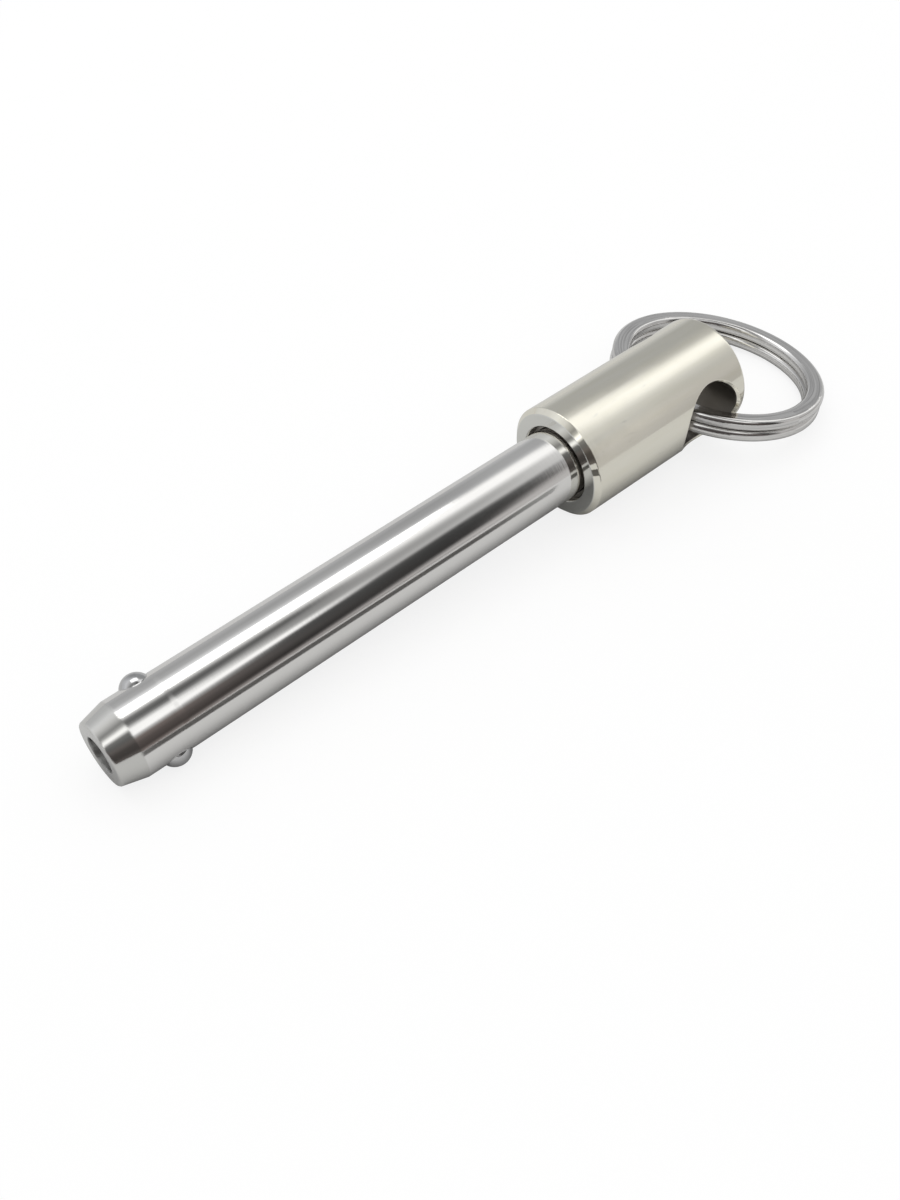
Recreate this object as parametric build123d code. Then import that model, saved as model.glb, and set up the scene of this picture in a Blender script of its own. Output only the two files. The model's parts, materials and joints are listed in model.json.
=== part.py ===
"""Ball lock pin with a pull sleeve handle and a split ring, lying at rest.

Modelled on its own axis: +X runs from the nose to the handle, x = 0 is the handle's seat
face and +Z is up. The whole pin is then tipped so that it lies on the taper's edge and the
handle's front edge, and the split ring is hung through the cross hole with its far side down.
Pulling the handle by `pull` along +X carries the spindle back and lets the balls drop inward.
"""

import os
from math import acos, asin, atan, atan2, cos, degrees, hypot, radians

from build123d import *

# Fits
running = 0.05  # clearance all round a sliding or turning fit, and at its ends
edge_break = 0.15
past = 1.0  # how far a cut runs past the face that it opens

# Shank
shank_d = 10.0
shank_length = 70.0  # nose to seat face
nose_d = 8.4
taper_length = 3.2
bore_d = 4.7
spring_bore_d = 7.0
spring_bore_start = -10.0
relief = 0.03  # the ball end is this much under size, so its staked lips stand no prouder
relief_lead = 0.6
journal_d = 9.6  # rear end of the shank, inside the handle

# Balls
ball_d = 4.0
ball_from_nose = 7.3
span_over_balls = 12.0
ball_angle = 42.0  # the upper ball's height above the horizontal, seen along the pin
ball_clearance = 0.05

# Spindle
pull = 3.5
cam_slope = 0.3  # radius per length of the ball cam
tip_d = 4.6
tip_recess = 0.8
tip_length = 1.0
neck_d = 1.8
land_d = 3.6
land_lead = 0.3  # the land's front edge, ahead of the ball centre
land_length = 1.6
guide_d = 4.6
collar_d = 6.8
collar_length = 2.0
collar_stop = 0.3  # between the collar and the spring bore's front end
tail_d = 3.0
tail_head_d = 4.2
tail_head_length = 0.7
spindle_break = 0.2

# Bush and return spring
bush_length = 4.0
spring_wire_d = 0.7
spring_mean_d = 5.9
spring_turns = 6.5
spring_end_gap = 0.02

# Handle
handle_d = 16.0
handle_length = 29.5
handle_bore_d = 9.8
mouth_d = 10.9  # the bore's wider mouth, clear of the shank
mouth_depth = 1.2
mouth_break = 0.2
web = 4.4  # between the bore's end and the tail's spot face
front_chamfer = 0.7
rear_round = 0.6
hole_d = 10.5
hole_from_rear = 6.6
hole_roll = 7.8  # the cross hole's near mouth is turned down by this angle
hole_chamfer = 0.45
access_d = 4.6
spot_depth = 0.7  # spot face for the tail's head, below the hole's wall

# Split ring
ring_d = 31.8
wire_width = 2.65
wire_height = 1.7
wire_corner = 0.7
coil_gap = 0.08
step_angle = 32.0  # how far round the step from one turn to the other goes
step_gap = 5.0  # angle between each end of the wire and the step
step_sections = 8
ring_reach = 13.0  # ring centre behind the cross hole's axis
ring_side = 2.1
ring_drop = 5.2
ring_roll = 1.4
floor_gap = 0.03

shank_r, handle_r = shank_d / 2, handle_d / 2
nose_x = -shank_length
taper_x = nose_x + taper_length
ball_x = nose_x + ball_from_nose
ball_rest = (span_over_balls - ball_d) / 2
hole_x = handle_length - hole_from_rear
spot_x = hole_x - hole_d / 2 - spot_depth
handle_bore_depth = spot_x - web
journal_length = handle_bore_depth - running
collar_x = spring_bore_start + collar_stop

# The pin rests on the taper's edge and on the front edge of the handle's full diameter.
lay_angle = degrees(
    atan((handle_r - shank_r + relief) / (front_chamfer - taper_x))
)
laid = Rot(Y=-lay_angle)


def turned(*profile):
    """A solid of revolution about X from (x, radius) corners."""
    return revolve(make_face(Polyline(*profile, close=True)), Axis.X)


def bar(x0, x1, diameter):
    """A round bar on X from x0 to x1."""
    return turned((x0, 0), (x0, diameter / 2), (x1, diameter / 2), (x1, 0))


def radial(angle):
    """The frame at the ball row whose +Z points outward, at this height above horizontal."""
    return Pos(ball_x, 0, 0) * Rot(X=angle - 90)


def make_shank():
    journal_r = journal_d / 2
    grip_x = ball_x + ball_d / 2 + running
    body = turned(
        (nose_x, 0),
        (nose_x, nose_d / 2 - edge_break),
        (nose_x + edge_break, nose_d / 2),
        (taper_x, shank_r - relief),
        (grip_x - relief_lead, shank_r - relief),
        (grip_x, shank_r),
        (0, shank_r),
        (0, journal_r),
        (journal_length - 2 * edge_break, journal_r),
        (journal_length, journal_r - 2 * edge_break),
        (journal_length, 0),
    )
    body -= bar(nose_x - past, spring_bore_start + past, bore_d)
    body -= bar(spring_bore_start, journal_length + past, spring_bore_d)
    # Each ball hole ends in a spherical lip, the staked metal that keeps the ball in.
    bore_r = ball_d / 2 + ball_clearance
    ball_hole = Pos(0, 0, ball_rest / 2) * Cylinder(bore_r, ball_rest)
    ball_hole += Pos(0, 0, ball_rest) * Sphere(bore_r)
    for angle in (ball_angle, ball_angle + 180):
        body -= radial(angle) * ball_hole
    return body


def make_ball(angle):
    return radial(angle) * Pos(0, 0, ball_rest) * Sphere(ball_d / 2)


def make_spindle():
    tip_x = nose_x + tip_recess
    land_x = ball_x - land_lead
    cam_x = land_x - (land_d - neck_d) / 2 / cam_slope
    guide_x = land_x + land_length
    head_x = spot_x + running
    return turned(
        (tip_x, 0),
        (tip_x, tip_d / 2 - spindle_break),
        (tip_x + spindle_break, tip_d / 2),
        (tip_x + tip_length, tip_d / 2),
        (tip_x + tip_length, neck_d / 2),
        (cam_x, neck_d / 2),
        (land_x, land_d / 2),
        (guide_x, land_d / 2),
        (guide_x, guide_d / 2),
        (collar_x, guide_d / 2),
        (collar_x, collar_d / 2),
        (collar_x + collar_length, collar_d / 2),
        (collar_x + collar_length, tail_d / 2),
        (head_x, tail_d / 2),
        (head_x, tail_head_d / 2),
        (head_x + tail_head_length - spindle_break, tail_head_d / 2),
        (head_x + tail_head_length, tail_head_d / 2 - spindle_break),
        (head_x + tail_head_length, 0),
    )


def make_bush():
    bush_x = journal_length - bush_length
    return bar(bush_x, journal_length, spring_bore_d) - bar(
        bush_x - past, journal_length + past, tail_d + 2 * running
    )


def make_spring():
    """A round-wire helix from the collar to the bush, its ends clear by a hair."""
    end_gap = spring_wire_d / 2 + spring_end_gap
    start = collar_x + collar_length + end_gap
    end = journal_length - bush_length - end_gap
    path = Helix((end - start) / spring_turns, end - start, spring_mean_d / 2)
    section = Plane(origin=path @ 0, z_dir=path % 0) * Circle(spring_wire_d / 2)
    wire = sweep(section, path, is_frenet=True)
    return Pos(start, 0, 0) * Rot(Y=90) * wire


def make_handle():
    body = turned(
        (0, 0),
        (0, handle_r - front_chamfer),
        (front_chamfer, handle_r),
        (handle_length, handle_r),
        (handle_length, 0),
    )
    rear_edge = body.edges().group_by(Axis.X)[-1].filter_by(GeomType.CIRCLE)
    body = fillet(rear_edge, rear_round)
    cross = Pos(hole_x, 0, 0) * Rot(X=90 + hole_roll) * Cylinder(hole_d / 2, 2 * handle_d)
    body -= cross
    mouths = body.edges().filter_by(GeomType.BSPLINE)
    body = chamfer(mouths, hole_chamfer)
    bore_r, mouth_r = handle_bore_d / 2, mouth_d / 2
    body -= turned(
        (-past, 0),
        (-past, mouth_r + mouth_break + past),
        (mouth_break, mouth_r),
        (mouth_depth, mouth_r),
        (mouth_depth, bore_r),
        (handle_bore_depth, bore_r),
        (handle_bore_depth, 0),
    )
    body -= bar(0, hole_x, tail_d + 2 * running)
    body -= bar(spot_x, handle_length + past, access_d)
    return body


def make_ring():
    """Two flat turns of wire joined by one step, with both ends butting up to the step."""
    mean_r = (ring_d - wire_width) / 2
    rise = wire_height + coil_gap

    def section(turn):
        # The wire's section at this turn, counted from -X; the step is centred on 360.
        t = min(max((turn - 360) / step_angle + 0.5, 0), 1)
        height = rise * (t * t * (3 - 2 * t) - 0.5)
        outward = Rot(Z=turn + 180) * Pos(mean_r, 0, height) * Rot(X=90)
        return outward * RectangleRounded(wire_width, wire_height, wire_corner)

    first = step_angle / 2 + step_gap
    before, after = 360 - step_angle / 2, 360 + step_angle / 2
    lower = revolve(section(first), Axis.Z, before - first)
    stations = [before + step_angle * i / step_sections for i in range(step_sections + 1)]
    step = loft([section(turn) for turn in stations])
    upper = revolve(section(after), Axis.Z, 720 - first - after)
    return lower + step + upper


def ring_place():
    """Where the ring hangs: its far side just over the floor, its near side in the hole."""
    centre = laid * Pos(hole_x + ring_reach, ring_side, -ring_drop)
    floor = (laid * Pos(taper_x, 0, relief - shank_r)).position.Z
    height = centre.position.Z - floor - floor_gap
    across = ring_d / 2 - wire_corner
    through = wire_height + coil_gap / 2 - wire_corner
    slope = asin((height - wire_corner) / hypot(across, through)) - atan2(through, across)
    tilt = degrees(acos(cos(slope) / cos(radians(ring_roll))))
    return Pos(*centre.position) * Rot(Y=tilt) * Rot(X=ring_roll)


nodes = {
    "shank": laid * make_shank(),
    "ball_upper": laid * make_ball(ball_angle),
    "ball_lower": laid * make_ball(ball_angle + 180),
    "spindle": laid * make_spindle(),
    "bush": laid * make_bush(),
    "return_spring": laid * make_spring(),
    "handle": laid * make_handle(),
    "split_ring": ring_place() * make_ring(),
}

os.makedirs("parts", exist_ok=True)
for name, shape in nodes.items():
    export_step(shape, f"parts/{name}.step")
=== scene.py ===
"""Looks, light and camera for the ball lock pin.

The CAD nodes keep their shapes. Each gets a procedural steel, and one piece is made here: a
copy of the return spring with a mesh of its own, carried with the shank.
"""

import json
from math import pi, radians

import bpy
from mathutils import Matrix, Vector

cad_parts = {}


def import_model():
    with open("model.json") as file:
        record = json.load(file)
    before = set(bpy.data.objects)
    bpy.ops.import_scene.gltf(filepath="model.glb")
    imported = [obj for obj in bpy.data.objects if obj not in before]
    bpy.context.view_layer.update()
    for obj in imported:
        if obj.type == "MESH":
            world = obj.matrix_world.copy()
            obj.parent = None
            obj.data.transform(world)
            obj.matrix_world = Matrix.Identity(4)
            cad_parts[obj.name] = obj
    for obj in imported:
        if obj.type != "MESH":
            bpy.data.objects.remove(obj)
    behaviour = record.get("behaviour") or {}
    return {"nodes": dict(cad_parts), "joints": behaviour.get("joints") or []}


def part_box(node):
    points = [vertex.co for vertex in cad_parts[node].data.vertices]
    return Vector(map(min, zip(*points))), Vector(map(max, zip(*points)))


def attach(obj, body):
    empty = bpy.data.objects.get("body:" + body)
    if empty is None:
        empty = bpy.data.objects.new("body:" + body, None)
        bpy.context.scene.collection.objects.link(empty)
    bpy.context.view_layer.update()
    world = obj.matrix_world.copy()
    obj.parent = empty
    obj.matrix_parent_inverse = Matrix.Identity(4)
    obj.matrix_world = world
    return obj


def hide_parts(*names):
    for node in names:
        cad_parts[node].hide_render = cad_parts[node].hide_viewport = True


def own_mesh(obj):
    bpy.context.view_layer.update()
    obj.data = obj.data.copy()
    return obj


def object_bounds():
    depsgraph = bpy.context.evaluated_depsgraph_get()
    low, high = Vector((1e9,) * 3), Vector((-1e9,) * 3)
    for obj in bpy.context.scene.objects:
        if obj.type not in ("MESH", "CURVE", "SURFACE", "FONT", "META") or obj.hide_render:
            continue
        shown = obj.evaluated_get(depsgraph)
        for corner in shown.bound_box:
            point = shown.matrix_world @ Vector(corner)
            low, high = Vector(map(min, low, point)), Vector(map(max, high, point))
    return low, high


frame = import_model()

cad_low, cad_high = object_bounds()
nodes = frame["nodes"]
joints = {joint["name"]: joint for joint in frame["joints"]}
MM = 0.001

# Where the look of a steel changes, in millimetres. Heights run along the pin, from the
# handle's front face toward its rear. Radii are a hair over those of the holes themselves.
TAPER_HEIGHT = -66.8
FACE_HEIGHT = 0.065
CHAMFER_HEIGHT = 0.7
WEB_HEIGHT = 14.0  # inside the wall between the handle's front bore and the hole in its rear
SHANK_BORE_RADIUS = 2.45
HANDLE_BORE_RADIUS = 5.5
REAR_HOLE_RADIUS = 2.35
CROSS_HOLE_RADIUS = 5.3


def ring_axis():
    """The split ring's axis, from the flats on top of its wire."""
    nearly_up = 0.9
    upward = Vector()
    for face in nodes["split_ring"].data.polygons:
        if face.normal.z > nearly_up:
            upward += face.normal * face.area
    return upward.normalized()


# Each axis is a point on it and its direction.
PIN = (Vector(), Vector(joints["handle_pull"]["axis"]))
CROSS_HOLE = (Vector(joints["ring_swing"]["pos_m"]), Vector(joints["ring_swing"]["axis"]))
RING = (sum(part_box("split_ring"), Vector()) / 2, ring_axis())


# ---------------------------------------------------------------- node helpers
class Nodes:
    """A material's or the world's node tree, with short calls that make and link nodes."""

    def __init__(self, tree):
        self.tree = tree
        tree.nodes.clear()

    def add(self, kind, inputs=(), **settings):
        node = self.tree.nodes.new(kind)
        for name, value in settings.items():
            setattr(node, name, value)
        for key, value in dict(inputs).items():
            self.put(node.inputs[key], value)
        return node

    def put(self, socket, value):
        """Set the socket to a plain value, or link it to a socket or a node's first output."""
        if isinstance(value, bpy.types.NodeSocket):
            self.tree.links.new(value, socket)
        elif isinstance(value, bpy.types.Node):
            self.tree.links.new(value.outputs[0], socket)
        else:
            socket.default_value = value

    def math(self, operation, a, b=0.0):
        return self.add("ShaderNodeMath", {0: a, 1: b}, operation=operation).outputs[0]

    def plus(self, value, mask, amount):
        """value, raised by amount where the mask is 1."""
        return self.math("ADD", value, self.math("MULTIPLY", mask, amount))

    def span(self, value, low, high, to_low, to_high):
        """value from low..high to to_low..to_high, smoothly, and held beyond."""
        limits = {"From Min": low, "From Max": high, "To Min": to_low, "To Max": to_high}
        return self.add(
            "ShaderNodeMapRange", {"Value": value, **limits}, interpolation_type="SMOOTHSTEP"
        ).outputs[0]

    def below(self, value, limit, blur):
        """1 where value is under the limit and 0 past it, blended over blur to each side."""
        return self.span(value, limit - blur, limit + blur, 1.0, 0.0)

    def noise(self, vector, scale, detail=3.0, roughness=0.55, distortion=0.0):
        look = {"Scale": scale, "Detail": detail, "Roughness": roughness}
        return self.add(
            "ShaderNodeTexNoise", {"Vector": vector, **look, "Distortion": distortion}
        ).outputs[0]

    def grain(self, vector, scale, **look):
        """Noise with about this many patches to a unit of each coordinate."""
        stretched = self.add("ShaderNodeMapping", {"Vector": vector, "Scale": scale})
        return self.noise(stretched, 1.0, **look)

    def mix(self, factor, a, b):
        # A colour mix has its factor at input 0, its colours at 6 and 7, its result at 2.
        node = self.add("ShaderNodeMix", data_type="RGBA")
        self.put(node.inputs[0], factor)
        self.put(node.inputs[6], a)
        self.put(node.inputs[7], b)
        return node.outputs[2]

    def ramp(self, factor, stops):
        node = self.add("ShaderNodeValToRGB", {0: factor})
        elements = node.color_ramp.elements
        while len(elements) > 1:
            elements.remove(elements[-1])
        for i, (position, colour) in enumerate(stops):
            element = elements[0] if i == 0 else elements.new(position)
            element.position = position
            element.color = (*colour, 1.0)
        return node.outputs[0]

    def along(self, axis):
        """Coordinates in millimetres whose Z runs along the axis."""
        place, way = axis
        here = self.add("ShaderNodeTexCoord").outputs["Object"]
        turn = way.to_track_quat("Z", "Y").to_euler()
        return self.add(
            "ShaderNodeMapping",
            {"Vector": here, "Location": place, "Rotation": turn, "Scale": (MM, MM, MM)},
            vector_type="TEXTURE",
        ).outputs[0]

    def around(self, axis):
        """The radius, angle and height about the axis, lengths in millimetres."""
        x, y, z = self.add("ShaderNodeSeparateXYZ", {0: self.along(axis)}).outputs
        square = self.math("ADD", self.math("MULTIPLY", x, x), self.math("MULTIPLY", y, y))
        return self.math("SQRT", square), self.math("ARCTAN2", y, x), z

    def soft_edges(self, radius):
        """Normals that round each edge off by this many millimetres, as polishing does."""
        return self.add("ShaderNodeBevel", {"Radius": radius * MM}, samples=6).outputs[0]

    def bump(self, height, depth, strength, normal=None):
        """Normals of a surface that the height raises by up to depth, in millimetres."""
        inputs = {"Height": height, "Distance": depth * MM, "Strength": strength}
        if normal is not None:
            inputs["Normal"] = normal
        return self.add("ShaderNodeBump", inputs).outputs[0]

    def metal(self, base, roughness, normal=None):
        """The closing shader of every steel."""
        inputs = {"Base Color": base, "Metallic": 1.0, "Roughness": roughness}
        if normal is not None:
            inputs["Normal"] = normal
        self.close(self.add("ShaderNodeBsdfPrincipled", inputs))

    def close(self, shader, output="ShaderNodeOutputMaterial"):
        self.add(output, {0: shader})


def material(name):
    made = bpy.data.materials.new(name)
    made.use_nodes = True
    return made, Nodes(made.node_tree)


# ---------------------------------------------------------------- materials
# Grain scales are patches to a millimetre across the pin twice, then along it.
def polished_steel():
    """Ground and polished shank: faint grinding rings, a few handling marks, a rougher bore with
    painted shade.
    """
    made, n = material("polished_steel")
    p = n.along(PIN)
    rings = n.grain(p, (0.05, 0.05, 6.0), detail=4.0)
    cloud = n.noise(p, 0.12)
    marks = n.grain(p, (9.0, 9.0, 0.5), detail=2.0, distortion=0.6)
    scratch = n.span(marks, 0.70, 0.78, 0.0, 1.0)
    rough = n.plus(n.span(cloud, 0.35, 0.7, 0.035, 0.07), scratch, 0.05)
    rough = n.plus(rough, rings, 0.03)
    base = n.mix(cloud, (0.84, 0.83, 0.81, 1), (0.90, 0.89, 0.87, 1))
    radius, _, height = n.around(PIN)
    taper = n.below(height, TAPER_HEIGHT, 0.1)
    base = n.mix(taper, base, (0.74, 0.735, 0.71, 1))
    # Painted shade: the bore's colour is darkened as in a recess; the bore is also made rougher.
    bore = n.below(radius, SHANK_BORE_RADIUS, 0.05)
    base = n.mix(bore, base, (0.45, 0.45, 0.44, 1))
    rough = n.plus(rough, bore, 0.25)
    n.metal(base, rough, n.bump(rings, 0.0025, 0.6, n.soft_edges(0.4)))
    return made


def satin_steel():
    """Handle: fine turned finish, a warm cast, small rubs, a smooth front, rougher drilled holes
    with painted shade.
    """
    made, n = material("satin_steel")
    p = n.along(PIN)
    rings = n.grain(p, (0.05, 0.05, 9.0), detail=5.0)
    cloud = n.noise(p, 0.20, detail=4.0, roughness=0.6)
    streak = n.grain(p, (1.1, 1.1, 0.12))
    rub = n.span(n.grain(p, (2.2, 2.2, 0.35)), 0.64, 0.78, 0.0, 1.0)
    rough = n.plus(n.span(cloud, 0.3, 0.7, 0.09, 0.14), rub, 0.08)
    warm = n.mix(streak, (0.90, 0.87, 0.74, 1), (0.96, 0.935, 0.85, 1))
    base = n.mix(n.math("MULTIPLY", rub, 0.35), warm, (0.80, 0.79, 0.74, 1))
    radius, _, height = n.around(PIN)
    front = n.below(height, CHAMFER_HEIGHT, 0.05)
    rough = n.math("MULTIPLY", rough, n.span(front, 0.0, 1.0, 1.0, 0.4))
    face = n.below(height, FACE_HEIGHT, 0.035)
    base = n.mix(face, base, (0.80, 0.80, 0.76, 1))
    # The front bore is wider than the hole in the rear, whose face is left out of the painted
    # shade.
    web, past_web = WEB_HEIGHT, WEB_HEIGHT + 0.1
    bore = n.span(height, web, past_web, HANDLE_BORE_RADIUS, REAR_HOLE_RADIUS)
    bored = n.math("LESS_THAN", radius, bore)
    drilled = n.math("LESS_THAN", n.around(CROSS_HOLE)[0], CROSS_HOLE_RADIUS)
    inside = n.math("MAXIMUM", bored, drilled)
    # Painted shade: the insides of the bores and of the cross hole are darkened as recesses; they
    # are also rougher.
    base = n.mix(inside, base, (0.42, 0.40, 0.37, 1))
    rough = n.plus(rough, inside, 0.25)
    n.metal(base, rough, n.bump(rings, 0.003, 0.5, n.soft_edges(0.2)))
    return made


def ring_steel():
    """Split ring: flattened drawn wire with lines along it."""
    made, n = material("ring_steel")
    radius, angle, height = n.around(RING)
    p = n.add("ShaderNodeCombineXYZ", {0: radius, 1: angle, 2: height}).outputs[0]
    # These scales go with the radius, the angle in radians and the height.
    lines = n.grain(p, (4.5, 0.5, 4.5), detail=5.0, roughness=0.65)
    cloud = n.grain(p, (0.5, 2.0, 0.5))
    rough = n.plus(n.span(cloud, 0.3, 0.7, 0.08, 0.14), lines, 0.05)
    polish = n.span(lines, 0.35, 0.6, 0.0, 1.0)
    base = n.mix(polish, (0.60, 0.59, 0.58, 1), (0.90, 0.89, 0.87, 1))
    n.metal(base, rough, n.bump(lines, 0.03, 0.7))
    return made


def ball_steel():
    """Hardened balls, polished, with faint handling haze."""
    made, n = material("ball_steel")
    cloud = n.noise(n.along(PIN), 0.9)
    base = n.mix(cloud, (0.56, 0.56, 0.56, 1), (0.68, 0.68, 0.68, 1))
    n.metal(base, n.span(cloud, 0.35, 0.7, 0.05, 0.10))
    return made


def inner_steel():
    """Spindle and bush: plain turned steel, duller than the outside."""
    made, n = material("inner_steel")
    rings = n.grain(n.along(PIN), (0.2, 0.2, 5.0))
    base = n.mix(rings, (0.68, 0.68, 0.67, 1), (0.80, 0.80, 0.79, 1))
    n.metal(base, n.span(rings, 0.3, 0.7, 0.22, 0.34), n.bump(rings, 0.01, 0.5))
    return made


def spring_steel():
    """Return spring: drawn wire, a shade darker in places."""
    made, n = material("spring_steel")
    cloud = n.noise(n.along(PIN), 1.4)
    base = n.mix(cloud, (0.40, 0.40, 0.41, 1), (0.52, 0.52, 0.53, 1))
    n.metal(base, n.span(cloud, 0.3, 0.7, 0.25, 0.4))
    return made


finishes = (
    (polished_steel, ("shank",)),
    (satin_steel, ("handle",)),
    (ring_steel, ("split_ring",)),
    (ball_steel, ("ball_upper", "ball_lower")),
    (inner_steel, ("spindle", "bush")),
    (spring_steel, ("return_spring",)),
)
for make_finish, names in finishes:
    finish = make_finish()
    for name in names:
        mesh = nodes[name].data
        mesh.materials.clear()
        mesh.materials.append(finish)


# ---------------------------------------------------------------- return spring
def live_spring():
    """The return spring as a piece of its own, carried with the shank and held at the bush."""
    piece = bpy.data.objects.new("live_spring", nodes["return_spring"].data.copy())
    bpy.context.scene.collection.objects.link(piece)
    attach(piece, "shank")
    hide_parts("return_spring")
    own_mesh(piece)


live_spring()


# ---------------------------------------------------------------- stage
def card(name, corners):
    """A flat piece with four corners, and the node tree of its own material."""
    mesh = bpy.data.meshes.new(name)
    mesh.from_pydata(corners, [], [(0, 1, 2, 3)])
    made = bpy.data.objects.new(name, mesh)
    bpy.context.scene.collection.objects.link(made)
    finish, n = material(name)
    mesh.materials.append(finish)
    return made, n


def floor():
    """White to the camera but for the pin's shadow, and greyer in what the metal mirrors, with
    painted shade close under the pin.
    """
    half, z = 1.5, cad_low.z
    close_by = 12 * MM
    camera_glow, mirror_glow = 0.815, 0.12
    corners = [(-half, -half, z), (half, -half, z), (half, half, z), (-half, half, z)]
    made, n = card("floor", corners)
    paper = n.noise(n.add("ShaderNodeTexCoord").outputs["Object"], 60.0, detail=4.0)
    path = n.add("ShaderNodeLightPath").outputs
    seen = path["Is Camera Ray"]
    mirrored = n.math("MAXIMUM", path["Is Glossy Ray"], path["Is Transmission Ray"])
    # Painted shade: in what the metal mirrors, the floor's colour and glow darken close under the
    # pin, where less of the sky is open.
    shade = n.add("ShaderNodeAmbientOcclusion", {"Distance": close_by}, samples=6)
    open_sky = n.span(shade.outputs["AO"], 0.25, 0.95, 0.38, 1.0)
    pale = n.mix(paper, (0.53, 0.53, 0.525, 1), (0.55, 0.55, 0.55, 1))
    pale = n.mix(open_sky, (0.08, 0.08, 0.08, 1), pale)
    glow = n.math("MULTIPLY", n.math("MULTIPLY", mirrored, mirror_glow), open_sky)
    # To the camera the floor mostly glows, so its shadow stays faint.
    faint = n.mix(paper, (0.197, 0.197, 0.196, 1), (0.203, 0.203, 0.203, 1))
    diffuse = n.add("ShaderNodeBsdfDiffuse", {"Color": n.mix(seen, pale, faint)})
    light = n.add("ShaderNodeEmission", {"Strength": n.plus(glow, seen, camera_glow)})
    n.close(n.add("ShaderNodeAddShader", {0: diffuse, 1: light}))


def flag():
    """A low dark flag in front of the shank, there only in what the metal mirrors."""
    nose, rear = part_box("shank")[0].x, 12 * MM
    nose_fade, rear_fade = 12 * MM, 16 * MM
    front, foot = -30 * MM, cad_low.z
    top = foot + 6.6 * MM
    corners = [(nose, front, foot), (rear, front, foot), (rear, front, top), (nose, front, top)]
    made, n = card("flag", corners)
    p = n.add("ShaderNodeTexCoord").outputs["Object"]
    felt = n.grain(p, (60.0, 60.0, 400.0))
    dark = n.mix(felt, (0.14, 0.135, 0.13, 1), (0.26, 0.255, 0.25, 1))
    here = n.add("ShaderNodeSeparateXYZ", {0: p}).outputs[0]
    nose_end = n.span(here, nose, nose + nose_fade, 1.0, 0.0)
    rear_end = n.span(here, rear - rear_fade, rear, 0.0, 1.0)
    dark = n.mix(n.math("MAXIMUM", nose_end, rear_end), dark, (0.55, 0.55, 0.55, 1))
    n.close(n.add("ShaderNodeBsdfDiffuse", {"Color": dark}))
    made.visible_camera = made.visible_diffuse = made.visible_shadow = False


floor()
flag()


# ---------------------------------------------------------------- light
DISPLAY_GAMMA = 2.2
STEEL_REFLECTANCE = 0.88  # the share of the light that the steels are taken to send back
COOL_BEFORE, WARM_AFTER = 60, 140  # degrees round the tent

# What the metal mirrors, in stations along the pin from its nose to its handle. A station has
# the share of +X in the mirrored ray, how warm its front is, and the (degrees, displayed grey)
# stops of a ramp round the X axis: 0 is the back horizon, 90 overhead, 180 the front horizon.
TENT = (
    (-0.32, 0.1, (
        (0, 198), (25, 204), (45, 222), (62, 202), (75, 172), (86, 135), (95, 172), (103, 262),
        (109, 275), (113, 225), (119, 120), (131, 98), (143, 98), (154, 74), (168, 68),
        (180, 95))),
    (0.17, 0.15, (
        (0, 168), (20, 156), (38, 168), (48, 212), (56, 250), (75, 250), (82, 180), (88, 110),
        (96, 88), (103, 112), (110, 200), (115, 250), (130, 252), (135, 180), (142, 112),
        (154, 84), (170, 68), (175, 95), (180, 130))),
    (0.29, 0.06, (
        (0, 170), (25, 150), (40, 168), (50, 205), (57, 250), (77, 250), (86, 165), (91, 105),
        (96, 90), (104, 128), (114, 148), (118, 190), (122, 250), (127, 248), (131, 112),
        (135, 76), (152, 74), (166, 48), (171, 75), (176, 142), (180, 150))),
    (0.36, 0.04, (
        (0, 172), (22, 153), (40, 162), (50, 187), (58, 248), (80, 252), (88, 215), (96, 170),
        (104, 148), (112, 150), (123, 172), (128, 105), (132, 78), (140, 66), (155, 59),
        (164, 57), (169, 95), (175, 165), (180, 125))),
    (0.445, 0.03, (
        (0, 165), (22, 147), (42, 153), (52, 170), (60, 220), (66, 250), (84, 250), (92, 205),
        (100, 166), (108, 158), (120, 175), (125, 118), (129, 70), (140, 60), (160, 54),
        (163, 78), (168, 145), (173, 178), (178, 165), (180, 140))),
    (0.495, 0.03, (
        (0, 176), (22, 160), (45, 164), (55, 185), (63, 236), (70, 250), (85, 250), (93, 225),
        (100, 194), (112, 190), (123, 184), (128, 140), (133, 84), (146, 70), (151, 88),
        (156, 128), (161, 158), (170, 172), (180, 178))),
    (0.535, 0.02, (
        (0, 188), (18, 160), (50, 160), (60, 166), (66, 176), (70, 225), (75, 252), (92, 253),
        (100, 244), (107, 224), (116, 204), (130, 200), (150, 204), (165, 186), (180, 180))),
    (0.60, 0.02, (
        (0, 190), (18, 160), (50, 158), (62, 166), (72, 176), (80, 225), (86, 250), (97, 252),
        (104, 236), (110, 210), (118, 191), (130, 178), (150, 178), (165, 168), (180, 165))),
)


def tent_colour(at, grey, warmth):
    """The light that a steel shows as this grey, a little cool at the back, warm in front."""
    level = (grey / 255) ** DISPLAY_GAMMA / STEEL_REFLECTANCE
    if at < COOL_BEFORE:
        return (level * 0.99, level, level * 1.02)
    warm = warmth if at > WARM_AFTER else 0.0
    return (level, level * (1 - warm), level * (1 - 1.3 * warm))


def tent_stops(warmth, greys):
    """A station's stops as turns and colours, with one straight down that closes the round."""
    straight_down = (270, greys[0][1])
    return [(at / 360, tent_colour(at, grey, warmth)) for at, grey in (*greys, straight_down)]


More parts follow.
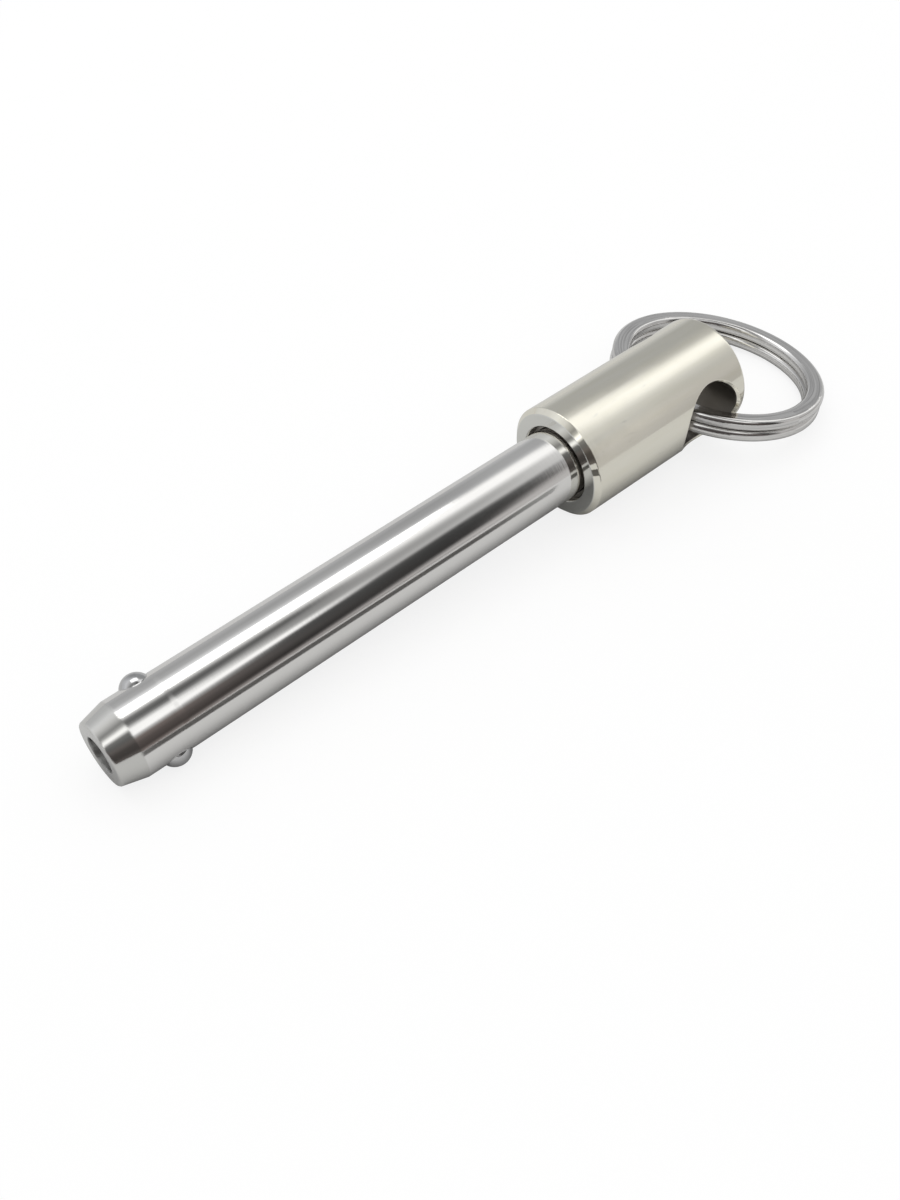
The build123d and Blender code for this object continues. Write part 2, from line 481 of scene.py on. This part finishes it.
def world():
    """The tent for the metal to mirror, a plain sky for what is dull, white to the camera."""
    made = bpy.data.worlds.new("studio")
    bpy.context.scene.world = made
    made.use_nodes = True
    n = Nodes(made.node_tree)
    way = n.add("ShaderNodeTexCoord").outputs["Generated"]
    x, y, z = n.add("ShaderNodeSeparateXYZ", {0: way}).outputs
    turn = n.math("DIVIDE", n.math("ARCTAN2", z, y), 2 * pi)
    turn = n.math("FRACT", n.math("ADD", turn, 1.0))
    stations = [(share, n.ramp(turn, tent_stops(warmth, greys))) for share, warmth, greys in TENT]
    # Rays to the low front lean a little further along the pin than those overhead, from
    # 0.36 of a turn on.
    lean = n.span(turn, 0.36, 0.46, 0.0, 0.025)
    share_x = n.math("SUBTRACT", x, lean)
    start, blend = stations[0]
    for end, ramp in stations[1:]:
        part = n.add("ShaderNodeMapRange", {"Value": share_x, "From Min": start, "From Max": end})
        blend = n.mix(part, blend, ramp)
        start = end
    studio = n.add("ShaderNodeBackground", {"Color": blend})
    white = n.add("ShaderNodeBackground", {"Color": (1, 1, 1, 1)})
    # The sky is stronger overhead than at the horizon, which keeps a soft shadow.
    sky = n.add("ShaderNodeBackground", {"Strength": n.span(z, 0.0, 1.0, 0.35, 1.35)})
    path = n.add("ShaderNodeLightPath").outputs
    lit = n.add("ShaderNodeMixShader", {0: path["Is Diffuse Ray"], 1: studio, 2: sky})
    both = n.add("ShaderNodeMixShader", {0: path["Is Camera Ray"], 1: lit, 2: white})
    n.close(both, "ShaderNodeOutputWorld")


def back_softbox():
    """A weak rectangular lamp, high behind the pin and aimed at the handle's front."""
    light = bpy.data.lights.new("back_softbox", "AREA")
    light.shape = "RECTANGLE"
    light.size, light.size_y = 0.6, 0.35
    light.energy = 0.6
    made = bpy.data.objects.new("back_softbox", light)
    bpy.context.scene.collection.objects.link(made)
    made.location = (0.05, 0.35, 0.75)
    made.rotation_euler = (-made.location).to_track_quat("-Z", "Y").to_euler()


world()
back_softbox()


# ---------------------------------------------------------------- camera
def camera():
    """A view over the nose, looking down and to the right of +Y."""
    downward, rightward = 45.6, 41.35  # degrees
    optics = bpy.data.cameras.new("camera")
    optics.sensor_width = 36.0
    optics.lens = 39.16
    optics.clip_start, optics.clip_end = 0.005, 20.0
    made = bpy.data.objects.new("camera", optics)
    bpy.context.scene.collection.objects.link(made)
    made.location = (-0.09935, -0.09185, 0.1116)
    made.rotation_euler = (radians(90 - downward), 0.0, radians(-rightward))
    bpy.context.scene.camera = made


camera()
bpy.context.scene.view_settings.view_transform = "Standard"
